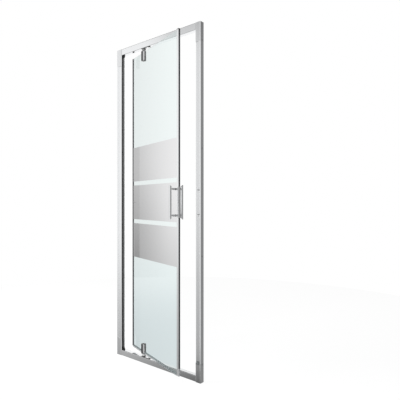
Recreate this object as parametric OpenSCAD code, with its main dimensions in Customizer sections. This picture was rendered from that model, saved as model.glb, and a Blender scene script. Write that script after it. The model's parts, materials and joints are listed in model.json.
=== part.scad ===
// Pivot shower door: a polished frame between two walls and one glass door
// that turns on two inset pivots.
// Millimetres. X runs along the frame, Y from the outside to the inside,
// Z up. The origin lies under the middle of the threshold rail.

/* [Frame] */
// Overall width of the frame, wall to wall
frame_w = 700; // [680:10:760]
// Overall height of the frame
frame_h = 1950; // [1800:10:2050]
// Depth of the frame, front to back
frame_d = 29; // [28:0.5:33]
// Width of the hinge-side jamb, seen from the front
jamb_left_w = 45; // [42:1:50]
// Width of the closing-side jamb, seen from the front
jamb_right_w = 36; // [34:1:42]
// Height of the top rail
top_rail_h = 38; // [34:1:46]
// Height of the threshold rail
bottom_rail_h = 34; // [31:1:40]
// Depth of both rails
rail_d = 26; // [25:0.5:28]
// Wall of the extruded profiles
wall_t = 1.8; // [1.6:0.1:2]
// Radius of the frame's outer corners, at the front
corner_r = 5.5; // [4:0.5:6.5]
// Inner radius of the frame's back corners
back_inner_r = 0.4; // [0.2:0.1:1]
// Corner radius of the jambs on the doorway side
jamb_r = 6; // [5:0.5:6]
// Width of the wall channels' flanges, seen from the front
channel_w = 18; // [15:0.5:22]
// Height of the corner blocks
block_h = 106; // [90:1:120]
// How deep a jamb sits in its corner blocks
jamb_insert = 36; // [25:1:40]
// Distance of the outermost wall screws from the frame's ends
wall_screw_end = 98; // [85:1:104]
// Radius of the wall screw holes
wall_screw_r = 2.75; // [2.25:0.25:3.25]

/* [Door] */
// Distance of the pivot axis from the frame's left side
pivot_from_left = 240; // [235:1:280]
// Reach of the door's tail behind the pivot axis
tail_reach = 160; // [140:1:164]
// Angle at which the door stands open
door_open = 16.4; // [0:0.1:90]
// Gap between the door's closing edge and the jamb
closing_gap = 3.2; // [2.8:0.1:5]
// Gap between the threshold rail and the glass
gap_bottom = 26; // [25:0.5:32]
// Gap between the glass and the top rail
gap_top = 22; // [21.5:0.5:28]
// Glass thickness
glass_t = 6; // [5:0.5:8]
// Height of one mirror band
band_h = 213; // [190:1:240]
// Clear gap between two mirror bands
band_gap = 25; // [15:1:40]
// Width of the closing-edge profile
edge_w = 18.5; // [17:0.5:24]
// Wall of the closing-edge profile beside the glass
edge_wall = 1; // [0.8:0.1:1.4]
// How far the magnetic strip stands out of that profile
magnet_nose = 2.5; // [2:0.1:3]
// Length of the seal legs on the glass of the tail edge
tail_seal_leg = 10; // [8:0.5:14]
// Height of the drip seal legs on the glass
drip_leg = 9; // [7:0.5:12]

/* [Pivots] */
// Radius of the barrels that clamp the glass
barrel_r = 17; // [16.5:0.5:19]
// How far a barrel reaches over the glass
barrel_grip = 52; // [50:1:60]
// How far a barrel runs past the glass edge
barrel_past = 9; // [8.5:0.5:9.5]
// Radius of the rounded end of a barrel
barrel_nose_r = 8; // [6:0.5:8]
// Radius of the steel pins
pin_r = 5; // [4.5:0.25:5.5]
// Running clearance of a pin in its bush, on the radius
pin_gap = 0.05; // [0.02:0.01:0.1]
// Radius of the pins' collar
collar_r = 7.5; // [6.5:0.25:8]
// Thickness of the rubber pads between barrel and glass
pad_t = 1; // [0.8:0.1:1.5]
// Width of the notch in the glass at each pivot
notch_w = 30; // [29:0.5:31]
// Height of that notch
notch_h = 24; // [23:0.5:27]
// Thickness of the socket plates on the rails
socket_t = 4; // [3.5:0.25:4.5]
// Height of the boss round the bush, over the rail
boss_h = 8; // [7:0.25:8.5]
// Reach of a socket plate from the pivot towards the closing side
socket_reach = 53; // [50:1:65]
// Reach of a socket plate from the pivot towards the hinge side
socket_back = 20; // [16:1:24]
// Half width of a socket plate
socket_r = 12; // [11.5:0.25:12.5]

/* [Handle] */
// Distance of the handle from the closing edge
handle_setback = 35; // [32:1:60]
// Distance between the two posts of a handle
post_pitch = 141; // [120:1:150]
// Length of a bar along its outer face
bar_len = 186; // [176:1:200]
// Side of the square bar
bar_w = 11; // [9:0.5:13]
// How much shorter the bar is along its inner face, at each end
bar_slant = 9; // [4:0.5:10]
// Distance from the middle of the glass to the middle of a bar
bar_standoff = 36; // [30:0.1:42]
// Radius of the round posts
post_r = 5; // [4.5:0.25:6]
// Height of the plate that wraps the closing edge at the handle
saddle_h = 166; // [120:1:180]
// Thickness of that plate
saddle_t = 1.2; // [1:0.1:1.4]

/* [Hidden] */
$fn = 64;
eps = 0.01;
over = 1;

// Clearances
slide_gap = 0.3;
block_fit = 0.15;
seat_gap = 0.3;
bolt_gap = 0.05;
hole_gap = 0.3;
strip_gap = 0.2;
plumb_play = 2.2;

// Jambs, in a frame that starts at the wall
jamb_d = frame_d - 2 * wall_t - 2 * slide_gap;
jamb_back = wall_t + plumb_play;
jamb_back_r = 5.5;
jamb_wall = 1.6;
lip_r = 0.6;
back_r = wall_t + back_inner_r;
jamb_low = block_h - jamb_insert;
groove_mouth = 3;
groove_depth = 3.6;
groove_w = 6.6;
groove_lip = 1.8;
groove_wall = 1.6;
gap_groove_y = -4.8;
strike_w = 11;
strike_t = 1;

// Corner blocks
block_wall = (frame_d - jamb_d) / 2 - block_fit;
block_end = 2.2;
block_ledge = 1.2;
tongue_w = 16;
seat_r = jamb_r + block_fit + block_wall;
rail_left_x = jamb_left_w + block_fit + block_wall;
rail_right_x = jamb_right_w + block_fit + block_wall;
block_screw_z = block_h - jamb_insert / 2;

// Rails
rail_wall = 1.8;
rail_r = 2.5;
port_r = 3.2;
port_hole_r = 1.8;
port_lift = 0.6;
port_up = rail_wall + port_r + port_lift;
port_web = 2.4;
rail_cut = 7;

// Wall screws, evenly spaced along each channel
wall_screw_count = 4;
wall_screw_pitch = (frame_h - 2 * wall_screw_end) / (wall_screw_count - 1);

// Door extents, measured from the pivot axis along the closed door
pivot_x = pivot_from_left - frame_w / 2;
door_reach = frame_w - jamb_right_w - closing_gap - pivot_from_left;
door_low = bottom_rail_h + gap_bottom;
door_high = frame_h - top_rail_h - gap_top;
door_mid = (door_low + door_high) / 2;
door_h = door_high - door_low;
edge_start = door_reach - magnet_nose - edge_w;
edge_end = door_reach - magnet_nose;
seal_t = 1.2;
bulb_r = 2.2;
bulb_wall = 1;
bulb_out = 1.6;
glass_left = -(tail_reach - seal_t - bulb_out - bulb_r);
drip_lip = 4.6;
drip_splay = 1;
drip_foot = 0.8;
gasket_t = 1;
gasket_step = 0.6;
slot_depth = 13;
glass_right = edge_start + slot_depth - gasket_t - strip_gap;
glass_half = glass_t / 2;
edge_half = glass_half + gasket_t + edge_wall;
edge_lip_r = 0.4;
edge_nose_r = 1.2;
cap_t = 3;
cap_nose_top = 9;
cap_nose_bottom = 38;
film_t = 0.3;
film_inset = 0.2;

// Groove for the magnetic strip in the closing-edge profile
lock_depth = 4;
lock_lip = 1.5;
lock_w = 7;
lock_mouth = 4;
nose_inset = 0.3;
nose_r = 0.9;

// Pivots, from the face of the rail upwards
bush_r = 7;
bush_len = 14;
bush_flange_r = 10;
bush_flange_t = 1.5;
washer_t = 1.2;
washer_r = 9;
bush_top = boss_h + bush_flange_t;
thrust_play = 0.1;
top_play = 2;
pin_tip = -3.6;
pin_bevel = 0.8;
pin_head_r = 7;
pin_head_t = 3;
pin_in_glass = 20;
lobe_gap = 0.5;
barrel_rim_r = 1.5;
pad_inset = 1;
side_screw_x = 9.5;
side_screw_up = 6;
mid_screw_up = 38;
mid_hole_r = 4.5;
clamp_screw_r = 2;
clamp_head_r = 3.4;
clamp_head_t = 3;
side_seat_y = 6;
mid_seat_y = 9;
side_tip_y = -7.5;
mid_tip_y = -9.5;
drill_past = 1.5;
drill_len = barrel_r + 3;
hex_r = 1.44;
hex_depth = 1.6;
boss_step = 1;
socket_screw_x = [19, 41];
head_sink = 0.2;
plate_screw_len = 10;
plate_screw_r = 2;
plate_head_r = 4;
plate_head_t = 2.2;

// Handle, in the door's own frame
handle_x = door_reach - handle_setback;
stud_r = 3;
stud_half = 18;
stud_hole_r = 4.5;
washer_w_r = 6;
pad_washer_t = 1;
grub_r = 2;
grub_len = 2;
grub_y = 12;
bar_r = 1.5;
saddle_leg = 8.6;
fold_r = 0.3;

// Hinge-side gap seal
blade_t = 1.2;
blade_y = -5.8;
blade_overlap = 4;
blade_foot = 3.4;
blade_play = 1.5;
bead_r = 0.9;
blade_end = pivot_from_left - tail_reach + blade_overlap;
blade_low = bottom_rail_h + blade_play;
blade_high = frame_h - top_rail_h - blade_play;
gusset_w = 10;
gusset_h = 21;
gusset_front = -10;
gusset_back = 8;
gusset_floor = 1.3;

// Screws of the frame
jamb_screw_x = 11;
jamb_screw_end = 260;
jamb_screw_z = [jamb_screw_end, frame_h / 2, frame_h - jamb_screw_end];
small_screw_r = 1.75;
small_screw_len = 6;
small_head_r = 3;
small_head_t = 2.2;
small_head_bevel = 0.8;
cross_l = 3.2;
cross_w = 0.8;
cross_depth = 1.2;
corner_screw_len = 24;

// Places

module at_left() {
    translate([-frame_w / 2, 0, 0]) children();
}

module at_right() {
    translate([frame_w / 2, 0, 0]) mirror([1, 0, 0]) children();
}

module at_top() {
    translate([0, 0, frame_h]) mirror([0, 0, 1]) children();
}

module on_threshold() {
    translate([0, 0, bottom_rail_h]) children();
}

module under_top_rail() {
    translate([0, 0, frame_h - top_rail_h]) mirror([0, 0, 1]) children();
}

module at_pivot() {
    translate([pivot_x, 0, 0]) children();
}

module on_door() {
    at_pivot() rotate([0, 0, -door_open]) children();
}

// Extrudes a section drawn in Y and Z along X
module along_x(from, to) {
    translate([from, 0, 0]) rotate([90, 0, 90])
        linear_extrude(to - from) children();
}

// Extrudes an outline drawn in X and Z through Y
module through_y(from, to) {
    translate([0, to, 0]) rotate([90, 0, 0])
        linear_extrude(to - from) children();
}

module rod_x(x, y, z, r, len) {
    translate([x, y, z]) rotate([0, 90, 0]) cylinder(r = r, h = len);
}

module rod_y(x, y, z, r, len) {
    translate([x, y, z]) rotate([-90, 0, 0]) cylinder(r = r, h = len);
}

// Outlines

// Plate from x = 0 to w with its own corner radius at either end
module rounded_plate(w, d, r_near, r_far) {
    translate([r_near, -d / 2]) square([w - r_near - r_far, d]);
    translate([0, r_near - d / 2]) square([r_near + eps, d - 2 * r_near]);
    translate([w - r_far - eps, r_far - d / 2])
        square([r_far + eps, d - 2 * r_far]);
    for (side = [-1, 1]) {
        translate([r_near, side * (d / 2 - r_near)]) circle(r = r_near);
        translate([w - r_far, side * (d / 2 - r_far)]) circle(r = r_far);
    }
}

// The same plate with a smaller radius at the wall's back corner
module frame_plate(w, d, r_front, r_back, r_far) {
    rounded_plate(w, d, r_front, r_far);
    translate([0, d / 2 - r_front - r_back])
        square([r_front + r_back, r_front]);
    translate([r_back, d / 2 - r_back]) circle(r = r_back);
    translate([r_back, d / 2 - r_front]) square([r_front, r_front]);
}

// Head of a strip in a groove and its neck, which ends at x = 0
module strip_root(y) {
    head = groove_w - 2 * strip_gap;
    neck = groove_mouth - 2 * strip_gap;
    translate([strip_gap - groove_lip - groove_depth, y - head / 2])
        square([groove_depth - 2 * strip_gap, head]);
    translate([-groove_lip - 2 * strip_gap, y - neck / 2])
        square([groove_lip + 2 * strip_gap + eps, neck]);
}

// Wall channels and jambs

module channel_section() {
    difference() {
        frame_plate(channel_w, frame_d, corner_r, back_r, lip_r);
        translate([wall_t, 0])
            frame_plate(channel_w, frame_d - 2 * wall_t,
                corner_r - wall_t, back_r - wall_t, lip_r);
    }
}

module wall_channel() {
    screw_z = [for (i = [0:wall_screw_count - 1])
        wall_screw_end + i * wall_screw_pitch];
    color([0.80, 0.81, 0.82])
    difference() {
        union() {
            translate([0, 0, block_h])
                linear_extrude(frame_h - 2 * block_h) channel_section();
            translate([0, -tongue_w / 2, block_end + seat_gap])
                cube([wall_t, tongue_w,
                    frame_h - 2 * (block_end + seat_gap)]);
        }
        for (z = screw_z)
            rod_x(-over, 0, z, wall_screw_r, wall_t + 2 * over);
        for (z = jamb_screw_z)
            rod_y(jamb_screw_x, frame_d / 2 - wall_t - over, z,
                small_screw_r + hole_gap, wall_t + 2 * over);
    }
}

module jamb_section(w, groove_y) {
    housing_depth = groove_lip + groove_depth + groove_wall;
    difference() {
        union() {
            difference() {
                translate([jamb_back, 0])
                    rounded_plate(w - jamb_back, jamb_d,
                        jamb_back_r, jamb_r);
                translate([jamb_back + jamb_wall, 0])
                    rounded_plate(w - jamb_back - 2 * jamb_wall,
                        jamb_d - 2 * jamb_wall,
                        jamb_back_r - jamb_wall, jamb_r - jamb_wall);
            }
            translate([w - housing_depth,
                    groove_y - groove_w / 2 - groove_wall])
                square([housing_depth - jamb_wall + eps,
                    groove_w + 2 * groove_wall]);
        }
        translate([w - groove_lip - groove_depth, groove_y - groove_w / 2])
            square([groove_depth, groove_w]);
        translate([w - groove_lip - over, groove_y - groove_mouth / 2])
            square([groove_lip + 2 * over, groove_mouth]);
    }
}

module jamb(w, groove_y) {
    color([0.84, 0.85, 0.86])
    difference() {
        translate([0, 0, jamb_low])
            linear_extrude(frame_h - 2 * jamb_low)
                jamb_section(w, groove_y);
        for (z = jamb_screw_z)
            rod_y(jamb_screw_x, jamb_d / 2 - jamb_wall - over, z,
                small_screw_r + bolt_gap, jamb_wall + 2 * over);
        for (z = [block_screw_z, frame_h - block_screw_z])
            rod_y(jamb_screw_x, jamb_d / 2 - jamb_wall - over, z,
                small_screw_r + bolt_gap, jamb_wall + 2 * over);
    }
}

// Corner blocks, drawn for a bottom corner. A seat with the rail's outline
// fills the rounded corners where the rail meets the block.

module corner_block(w, rail_h) {
    inner_w = w + block_fit;
    inner_d = jamb_d + 2 * block_fit;
    face_x = inner_w + block_wall;
    color([0.76, 0.77, 0.78])
    difference() {
        union() {
            linear_extrude(block_h)
                frame_plate(face_x, frame_d, corner_r, back_r, seat_r);
            along_x(face_x - seat_r, face_x) rail_outline(rail_h);
        }
        translate([block_wall, 0, jamb_low])
            linear_extrude(jamb_insert + over)
                frame_plate(inner_w - block_wall, inner_d,
                    corner_r - block_wall, back_r - block_wall,
                    jamb_r + block_fit);
        translate([block_wall, 0, block_end])
            linear_extrude(jamb_low - block_end + over)
                rounded_plate(inner_w - block_wall - block_ledge,
                    inner_d - 2 * block_ledge,
                    corner_r - block_wall, jamb_r - block_ledge);
        translate([-over, -tongue_w / 2 - seat_gap, block_end])
            cube([block_wall + 2 * over, tongue_w + 2 * seat_gap, block_h]);
        for (z = [port_up, rail_h - port_up])
            rod_x(w - over - block_ledge, 0, z, small_screw_r + hole_gap,
                block_wall + block_ledge + 2 * over + block_fit);
        rod_y(jamb_screw_x, jamb_d / 2 - over, block_screw_z,
            small_screw_r + hole_gap, block_wall + 2 * over);
    }
}

// Rails

module rail_outline(h) {
    rotate(90) rounded_plate(h, rail_d, rail_r, rail_r);
}

module rail_section(h) {
    difference() {
        union() {
            difference() {
                rail_outline(h);
                translate([rail_wall - rail_d / 2, rail_wall])
                    square([rail_d - 2 * rail_wall, h - 2 * rail_wall]);
            }
            for (z = [port_up, h - port_up])
                translate([0, z]) circle(r = port_r);
            translate([-port_web / 2, eps]) square([port_web, port_up]);
            translate([-port_web / 2, h - port_up - eps])
                square([port_web, port_up]);
        }
        for (z = [port_up, h - port_up])
            translate([0, z]) circle(r = port_hole_r);
    }
}

// A rail on the floor, with the cuts for bush and plate screws in its top
module rail(h) {
    color([0.84, 0.85, 0.86])
    difference() {
        along_x(rail_left_x - frame_w / 2, frame_w / 2 - rail_right_x)
            rail_section(h);
        at_pivot() translate([0, 0, h - rail_cut])
            cylinder(r = bush_r + hole_gap, h = rail_cut + over);
        for (x = socket_screw_x)
            at_pivot() translate([x, 0, h - rail_cut])
                cylinder(r = plate_screw_r + bolt_gap, h = rail_cut + over);
    }
}

// Screws of the frame

module pan_screw(len) {
    cylinder(r = small_screw_r, h = len);
    difference() {
        translate([0, 0, -small_head_t])
            cylinder(r1 = small_head_r - small_head_bevel,
                r2 = small_head_r, h = small_head_t);
        for (turn = [0, 90])
            rotate([0, 0, turn])
                translate([-cross_l / 2, -cross_w / 2,
                        -small_head_t - over])
                    cube([cross_l, cross_w, cross_depth + over]);
    }
}

module corner_screw_pair(w, rail_h) {
    for (z = [port_up, rail_h - port_up])
        translate([w + block_fit - block_ledge, 0, z])
            rotate([0, 90, 0]) pan_screw(corner_screw_len);
}

module corner_screws() {
    color([0.55, 0.55, 0.56]) {
        at_left() corner_screw_pair(jamb_left_w, bottom_rail_h);
        at_right() corner_screw_pair(jamb_right_w, bottom_rail_h);
        at_top() at_left() corner_screw_pair(jamb_left_w, top_rail_h);
        at_top() at_right() corner_screw_pair(jamb_right_w, top_rail_h);
    }
}

module jamb_screw_row(heights) {
    for (z = heights)
        translate([jamb_screw_x, frame_d / 2, z]) rotate([90, 0, 0])
            pan_screw(small_screw_len);
}

module jamb_screws() {
    color([0.72, 0.73, 0.74]) {
        at_left() jamb_screw_row(jamb_screw_z);
        at_right() jamb_screw_row(jamb_screw_z);
    }
}

module corner_block_screws() {
    heights = [block_screw_z, frame_h - block_screw_z];
    color([0.72, 0.73, 0.74]) {
        at_left() jamb_screw_row(heights);
        at_right() jamb_screw_row(heights);
    }
}

// Strips in the jambs

module gap_seal() {
    color([0.90, 0.93, 0.94])
    at_left() {
        translate([0, 0, block_h + seat_gap])
            linear_extrude(frame_h - 2 * (block_h + seat_gap)) {
                translate([jamb_left_w, 0]) strip_root(gap_groove_y);
                translate([jamb_left_w, blade_y - blade_t / 2])
                    square([blade_t, blade_foot]);
                translate([jamb_left_w, blade_y - blade_t / 2])
                    square([blade_end - jamb_left_w - bead_r, blade_t]);
                translate([blade_end - bead_r, blade_y]) circle(r = bead_r);
            }
        translate([0, 0, blade_low])
            linear_extrude(blade_high - blade_low) {
                translate([rail_left_x + seat_gap, blade_y - blade_t / 2])
                    square([blade_end - rail_left_x - seat_gap - bead_r,
                        blade_t]);
                translate([blade_end - bead_r, blade_y]) circle(r = bead_r);
            }
    }
}

module gusset(rail_h) {
    color([0.06, 0.06, 0.06])
    at_left() difference() {
        through_y(gusset_front, gusset_back)
            polygon([[rail_left_x, rail_h],
                [rail_left_x + gusset_w, rail_h],
                [rail_left_x, rail_h + gusset_h]]);
        translate([rail_left_x - over, blade_y - blade_t / 2 - strip_gap,
                rail_h + gusset_floor])
            cube([gusset_w + 2 * over, blade_t + 2 * strip_gap, gusset_h]);
    }
}

module strike_magnet() {
    color([0.25, 0.26, 0.27])
    at_right() translate([jamb_right_w, 0, block_h + seat_gap])
        linear_extrude(frame_h - 2 * (block_h + seat_gap)) {
            strip_root(0);
            translate([0, -strike_w / 2]) square([strike_t, strike_w]);
        }
}

// Pivot sockets on the rails, from the face of the rail upwards

module socket() {
    round_back = socket_r - socket_back;
    round_front = socket_reach - socket_r;
    color([0.62, 0.63, 0.64])
    difference() {
        union() {
            linear_extrude(socket_t) {
                translate([round_back, 0]) circle(r = socket_r);
                translate([round_front, 0]) circle(r = socket_r);
                translate([round_back, -socket_r])
                    square([round_front - round_back, 2 * socket_r]);
            }
            cylinder(r = socket_r - boss_step, h = boss_h);
        }
        translate([0, 0, -over])
            cylinder(r = bush_r + bolt_gap, h = boss_h + 2 * over);
        for (x = socket_screw_x)
            translate([x, 0, 0]) {
                translate([0, 0, -over])
                    cylinder(r = plate_screw_r + hole_gap,
                        h = socket_t + 2 * over);
                translate([0, 0, socket_t - plate_head_t - head_sink])
                    cylinder(r1 = plate_screw_r + hole_gap,
                        r2 = plate_head_r + hole_gap,
                        h = plate_head_t + head_sink + eps);
            }
    }
}

module bush() {
    color([0.92, 0.92, 0.90])
    difference() {
        union() {
            translate([0, 0, boss_h - bush_len])
                cylinder(r = bush_r, h = bush_len);
            translate([0, 0, boss_h])
                cylinder(r = bush_flange_r, h = bush_flange_t);
        }
        translate([0, 0, boss_h - bush_len - over])
            cylinder(r = pin_r + pin_gap,
                h = bush_len + bush_flange_t + 2 * over);
    }
}

module thrust_washer() {
    color([0.80, 0.80, 0.78])
    at_pivot() on_threshold() translate([0, 0, bush_top]) difference() {
        cylinder(r = washer_r, h = washer_t);
        translate([0, 0, -over])
            cylinder(r = pin_r + hole_gap, h = washer_t + 2 * over);
    }
}

module plate_screws() {
    shank = plate_screw_len - plate_head_t;
    for (x = socket_screw_x)
        translate([x, 0, socket_t - plate_screw_len]) {
            cylinder(r = plate_screw_r, h = shank);
            difference() {
                translate([0, 0, shank])
                    cylinder(r1 = plate_screw_r, r2 = plate_head_r,
                        h = plate_head_t);
                for (turn = [0, 90])
                    rotate([0, 0, turn])
                        translate([-cross_l / 2, -cross_w / 2,
                                plate_screw_len - cross_depth])
                            cube([cross_l, cross_w, cross_depth + over]);
            }
        }
}

module socket_screws() {
    color([0.45, 0.45, 0.46]) {
        at_pivot() on_threshold() plate_screws();
        at_pivot() under_top_rail() plate_screws();
    }
}

// Glass door

module glass_outline() {
    difference() {
        translate([glass_left, door_low])
            square([glass_right - glass_left, door_h]);
        for (edge = [0, 1]) {
            dir = edge == 0 ? 1 : -1;
            z = edge == 0 ? door_low : door_high;
            translate([-notch_w / 2, edge == 0 ? z - over : z - notch_h])
                square([notch_w, notch_h + over]);
            translate([0, z + dir * mid_screw_up]) circle(r = mid_hole_r);
        }
        for (side = [-1, 1])
            translate([handle_x, door_mid + side * post_pitch / 2])
                circle(r = stud_hole_r);
    }
}

module glass_panel() {
    color([0.80, 0.92, 0.90, 0.45])
    on_door() through_y(-glass_half, glass_half) glass_outline();
}

module mirror_band(step) {
    mid = door_mid + step * (band_h + band_gap);
    left = glass_left + tail_seal_leg + film_inset;
    right = edge_start - film_inset;
    color([0.78, 0.78, 0.78])
    on_door() through_y(-glass_half - film_t, -glass_half) difference() {
        translate([left, mid - band_h / 2]) square([right - left, band_h]);
        for (side = [-1, 1])
            translate([handle_x, door_mid + side * post_pitch / 2])
                circle(r = stud_hole_r);
    }
}

// Closing-edge profile: glass slot on one side, strip groove on the other
module edge_profile() {
    slot_half = glass_half + gasket_t;
    color([0.82, 0.83, 0.84])
    on_door() translate([0, 0, door_low]) linear_extrude(door_h)
        difference() {
            translate([edge_start, 0])
                rounded_plate(edge_w, 2 * edge_half, edge_lip_r, edge_nose_r);
            translate([edge_start - over, -slot_half])
                square([slot_depth + over, 2 * slot_half]);
            translate([edge_end - lock_depth, -lock_w / 2])
                square([lock_depth - lock_lip, lock_w]);
            translate([edge_end - lock_lip - over, -lock_mouth / 2])
                square([lock_lip + 2 * over, lock_mouth]);
        }
}

module edge_gasket() {
    outer = glass_half + gasket_t - bolt_gap;
    color([0.35, 0.36, 0.37])
    on_door() translate([0, 0, door_low]) linear_extrude(door_h)
        difference() {
            translate([edge_start + gasket_step, -outer])
                square([slot_depth - gasket_step - 2 * bolt_gap, 2 * outer]);
            translate([edge_start, -glass_half])
                square([glass_right - edge_start, glass_t]);
        }
}

// What sits in the groove of the closing edge: a head, a neck and a nose
module lock_strip(len) {
    head = lock_w - 2 * strip_gap;
    neck = lock_mouth - 2 * strip_gap;
    linear_extrude(len) {
        translate([edge_end - lock_depth + strip_gap, -head / 2])
            square([lock_depth - lock_lip - 2 * strip_gap, head]);
        translate([edge_end - lock_lip - 2 * strip_gap, -neck / 2])
            square([lock_lip + 2 * strip_gap + eps, neck]);
        translate([edge_end, 0])
            rounded_plate(magnet_nose, 2 * (edge_half - nose_inset),
                nose_inset, nose_r);
    }
}

module door_magnet() {
    color([0.20, 0.21, 0.22])
    on_door() translate([0, 0, door_low + cap_nose_bottom])
        lock_strip(door_h - cap_nose_bottom - cap_nose_top);
}

// End cap under the closing edge, with a plug that stands in the groove
module edge_cap(nose_h) {
    translate([edge_start, 0, -cap_t]) linear_extrude(cap_t)
        rounded_plate(edge_w, 2 * edge_half, edge_lip_r, edge_nose_r);
    translate([0, 0, -eps]) lock_strip(nose_h + eps);
}

module edge_cap_bottom() {
    color([0.72, 0.73, 0.74])
    on_door() translate([0, 0, door_low]) edge_cap(cap_nose_bottom);
}

module edge_cap_top() {
    color([0.10, 0.10, 0.11])
    on_door() translate([0, 0, door_high]) mirror([0, 0, 1])
        edge_cap(cap_nose_top);
}

// Push-on seal with a hollow bulb on the door's tail
module hinge_edge_seal() {
    leg_half = glass_half + seal_t;
    bulb_x = glass_left - seal_t - bulb_out;
    color([0.30, 0.31, 0.32])
    on_door() translate([0, 0, door_low]) linear_extrude(door_h)
        difference() {
            union() {
                translate([glass_left - seal_t, -leg_half])
                    square([tail_seal_leg + seal_t, 2 * leg_half]);
                translate([bulb_x, 0]) circle(r = bulb_r);
            }
            translate([glass_left, -glass_half])
                square([tail_seal_leg + over, glass_t]);
            translate([bulb_x, 0]) circle(r = bulb_r - bulb_wall);
        }
}

// Seal under the glass: two legs, a web and two splayed lips. The half
// outline runs down the right side; its mirror image closes the section.
module drip_section() {
    leg_half = glass_half + seal_t;
    lip_top = door_low - seal_t;
    lip_low = lip_top - drip_lip;
    right = [[glass_half, door_low], [glass_half, door_low + drip_leg],
        [leg_half, door_low + drip_leg], [leg_half, lip_top],
        [leg_half + drip_splay, lip_low],
        [leg_half + drip_splay - drip_foot, lip_low],
        [leg_half - seal_t, lip_top]];
    left = [for (i = [len(right) - 1:-1:0]) [-right[i][0], right[i][1]]];
    polygon(concat(right, left));
}

module drip_seal(from, to) {
    color([0.70, 0.73, 0.74])
    on_door() along_x(from, to) drip_section();
}

// Pivot barrels, from the face of the rail upwards

module barrel_profile(gap) {
    low = gap - barrel_past;
    high = gap + barrel_grip;
    rim_r = barrel_rim_r;
    translate([0, low])
        square([barrel_r - barrel_nose_r, barrel_nose_r + over]);
    translate([barrel_r - barrel_nose_r, low + barrel_nose_r])
        circle(r = barrel_nose_r);
    translate([0, low + barrel_nose_r])
        square([barrel_r, high - low - barrel_nose_r - rim_r]);
    translate([0, high - rim_r - eps])
        square([barrel_r - rim_r, rim_r + eps]);
    translate([barrel_r - rim_r, high - rim_r]) circle(r = rim_r);
}

// Room for glass and pads, less the lobes that fill the glass notch
module glass_room(gap) {
    half = glass_half + pad_t;
    difference() {
        translate([-barrel_r - over, -half, gap - seat_gap])
            cube([2 * (barrel_r + over), 2 * half,
                barrel_grip + seat_gap + over]);
        translate([lobe_gap - notch_w / 2, -half - over, gap - over])
            cube([notch_w - 2 * lobe_gap, 2 * (half + over),
                notch_h + over - lobe_gap]);
    }
}

module pin_room(gap) {
    head = gap + pin_in_glass - pin_head_t;
    translate([0, 0, gap - barrel_past - over])
        cylinder(r = pin_r + bolt_gap, h = barrel_past + pin_in_glass + over);
    translate([0, 0, head - bolt_gap])
        cylinder(r = pin_head_r + bolt_gap, h = pin_head_t + 2 * bolt_gap);
}

module clamp_screw_holes(gap, r, side_from, mid_from, len) {
    for (side = [-1, 1])
        rod_y(side * side_screw_x, side_from, gap + side_screw_up, r, len);
    rod_y(0, mid_from, gap + mid_screw_up, r, len);
}

module clamp_front(gap) {
    color([0.78, 0.79, 0.80])
    difference() {
        intersection() {
            rotate_extrude() barrel_profile(gap);
            translate([-barrel_r - over, -barrel_r - over, 0])
                cube([2 * (barrel_r + over), barrel_r + over,
                    gap + barrel_grip + over]);
        }
        glass_room(gap);
        pin_room(gap);
        clamp_screw_holes(gap, clamp_screw_r + bolt_gap,
            side_tip_y - drill_past, mid_tip_y - drill_past, drill_len);
    }
}

module clamp_back(gap) {
    color([0.78, 0.79, 0.80])
    difference() {
        intersection() {
            rotate_extrude() barrel_profile(gap);
            translate([-barrel_r - over, 0, 0])
                cube([2 * (barrel_r + over), barrel_r + over,
                    gap + barrel_grip + over]);
        }
        glass_room(gap);
        pin_room(gap);
        clamp_screw_holes(gap, clamp_screw_r + hole_gap, -over, -over,
            drill_len);
        clamp_screw_holes(gap, clamp_head_r + hole_gap,
            side_seat_y, mid_seat_y, drill_len);
    }
}

module clamp_screw(x, z, tip, seat) {
    rod_y(x, tip, z, clamp_screw_r, seat - tip + eps);
    difference() {
        rod_y(x, seat, z, clamp_head_r, clamp_head_t);
        translate([x, seat + clamp_head_t - hex_depth, z])
            rotate([-90, 0, 0])
                cylinder(r = hex_r, h = hex_depth + over, $fn = 6);
    }
}

module clamp_screw_set(gap) {
    for (side = [-1, 1])
        clamp_screw(side * side_screw_x, gap + side_screw_up,
            side_tip_y, side_seat_y);
    clamp_screw(0, gap + mid_screw_up, mid_tip_y, mid_seat_y);
}

module clamp_screws() {
    color([0.60, 0.60, 0.61]) {
        on_door() on_threshold() clamp_screw_set(gap_bottom);
        on_door() under_top_rail() clamp_screw_set(gap_top);
    }
}

module clamp_pad_pair(gap) {
    low = gap + notch_h + lobe_gap;
    high = gap + barrel_grip - barrel_rim_r;
    half = sqrt(pow(barrel_r, 2) - pow(glass_half + pad_t, 2)) - pad_inset;
    for (from = [-glass_half - pad_t, glass_half])
        through_y(from, from + pad_t) difference() {
            translate([-half, low]) square([2 * half, high - low]);
            translate([0, gap + mid_screw_up]) circle(r = mid_hole_r);
        }
}

module clamp_gaskets() {
    color([0.15, 0.15, 0.16]) {
        on_door() on_threshold() clamp_pad_pair(gap_bottom);
        on_door() under_top_rail() clamp_pad_pair(gap_top);
    }
}

module pivot_pin(gap, collar_low) {
    color([0.70, 0.71, 0.72]) {
        translate([0, 0, pin_tip])
            cylinder(r1 = pin_r - pin_bevel, r2 = pin_r, h = pin_bevel);
        translate([0, 0, pin_tip + pin_bevel])
            cylinder(r = pin_r,
                h = gap + pin_in_glass - pin_tip - pin_bevel);
        translate([0, 0, collar_low])
            cylinder(r = collar_r, h = gap - barrel_past - collar_low);
        translate([0, 0, gap + pin_in_glass - pin_head_t])
            cylinder(r = pin_head_r, h = pin_head_t);
    }
}

// Handles, drawn with the glass in the plane y = 0 and the bar at y < 0

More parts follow.
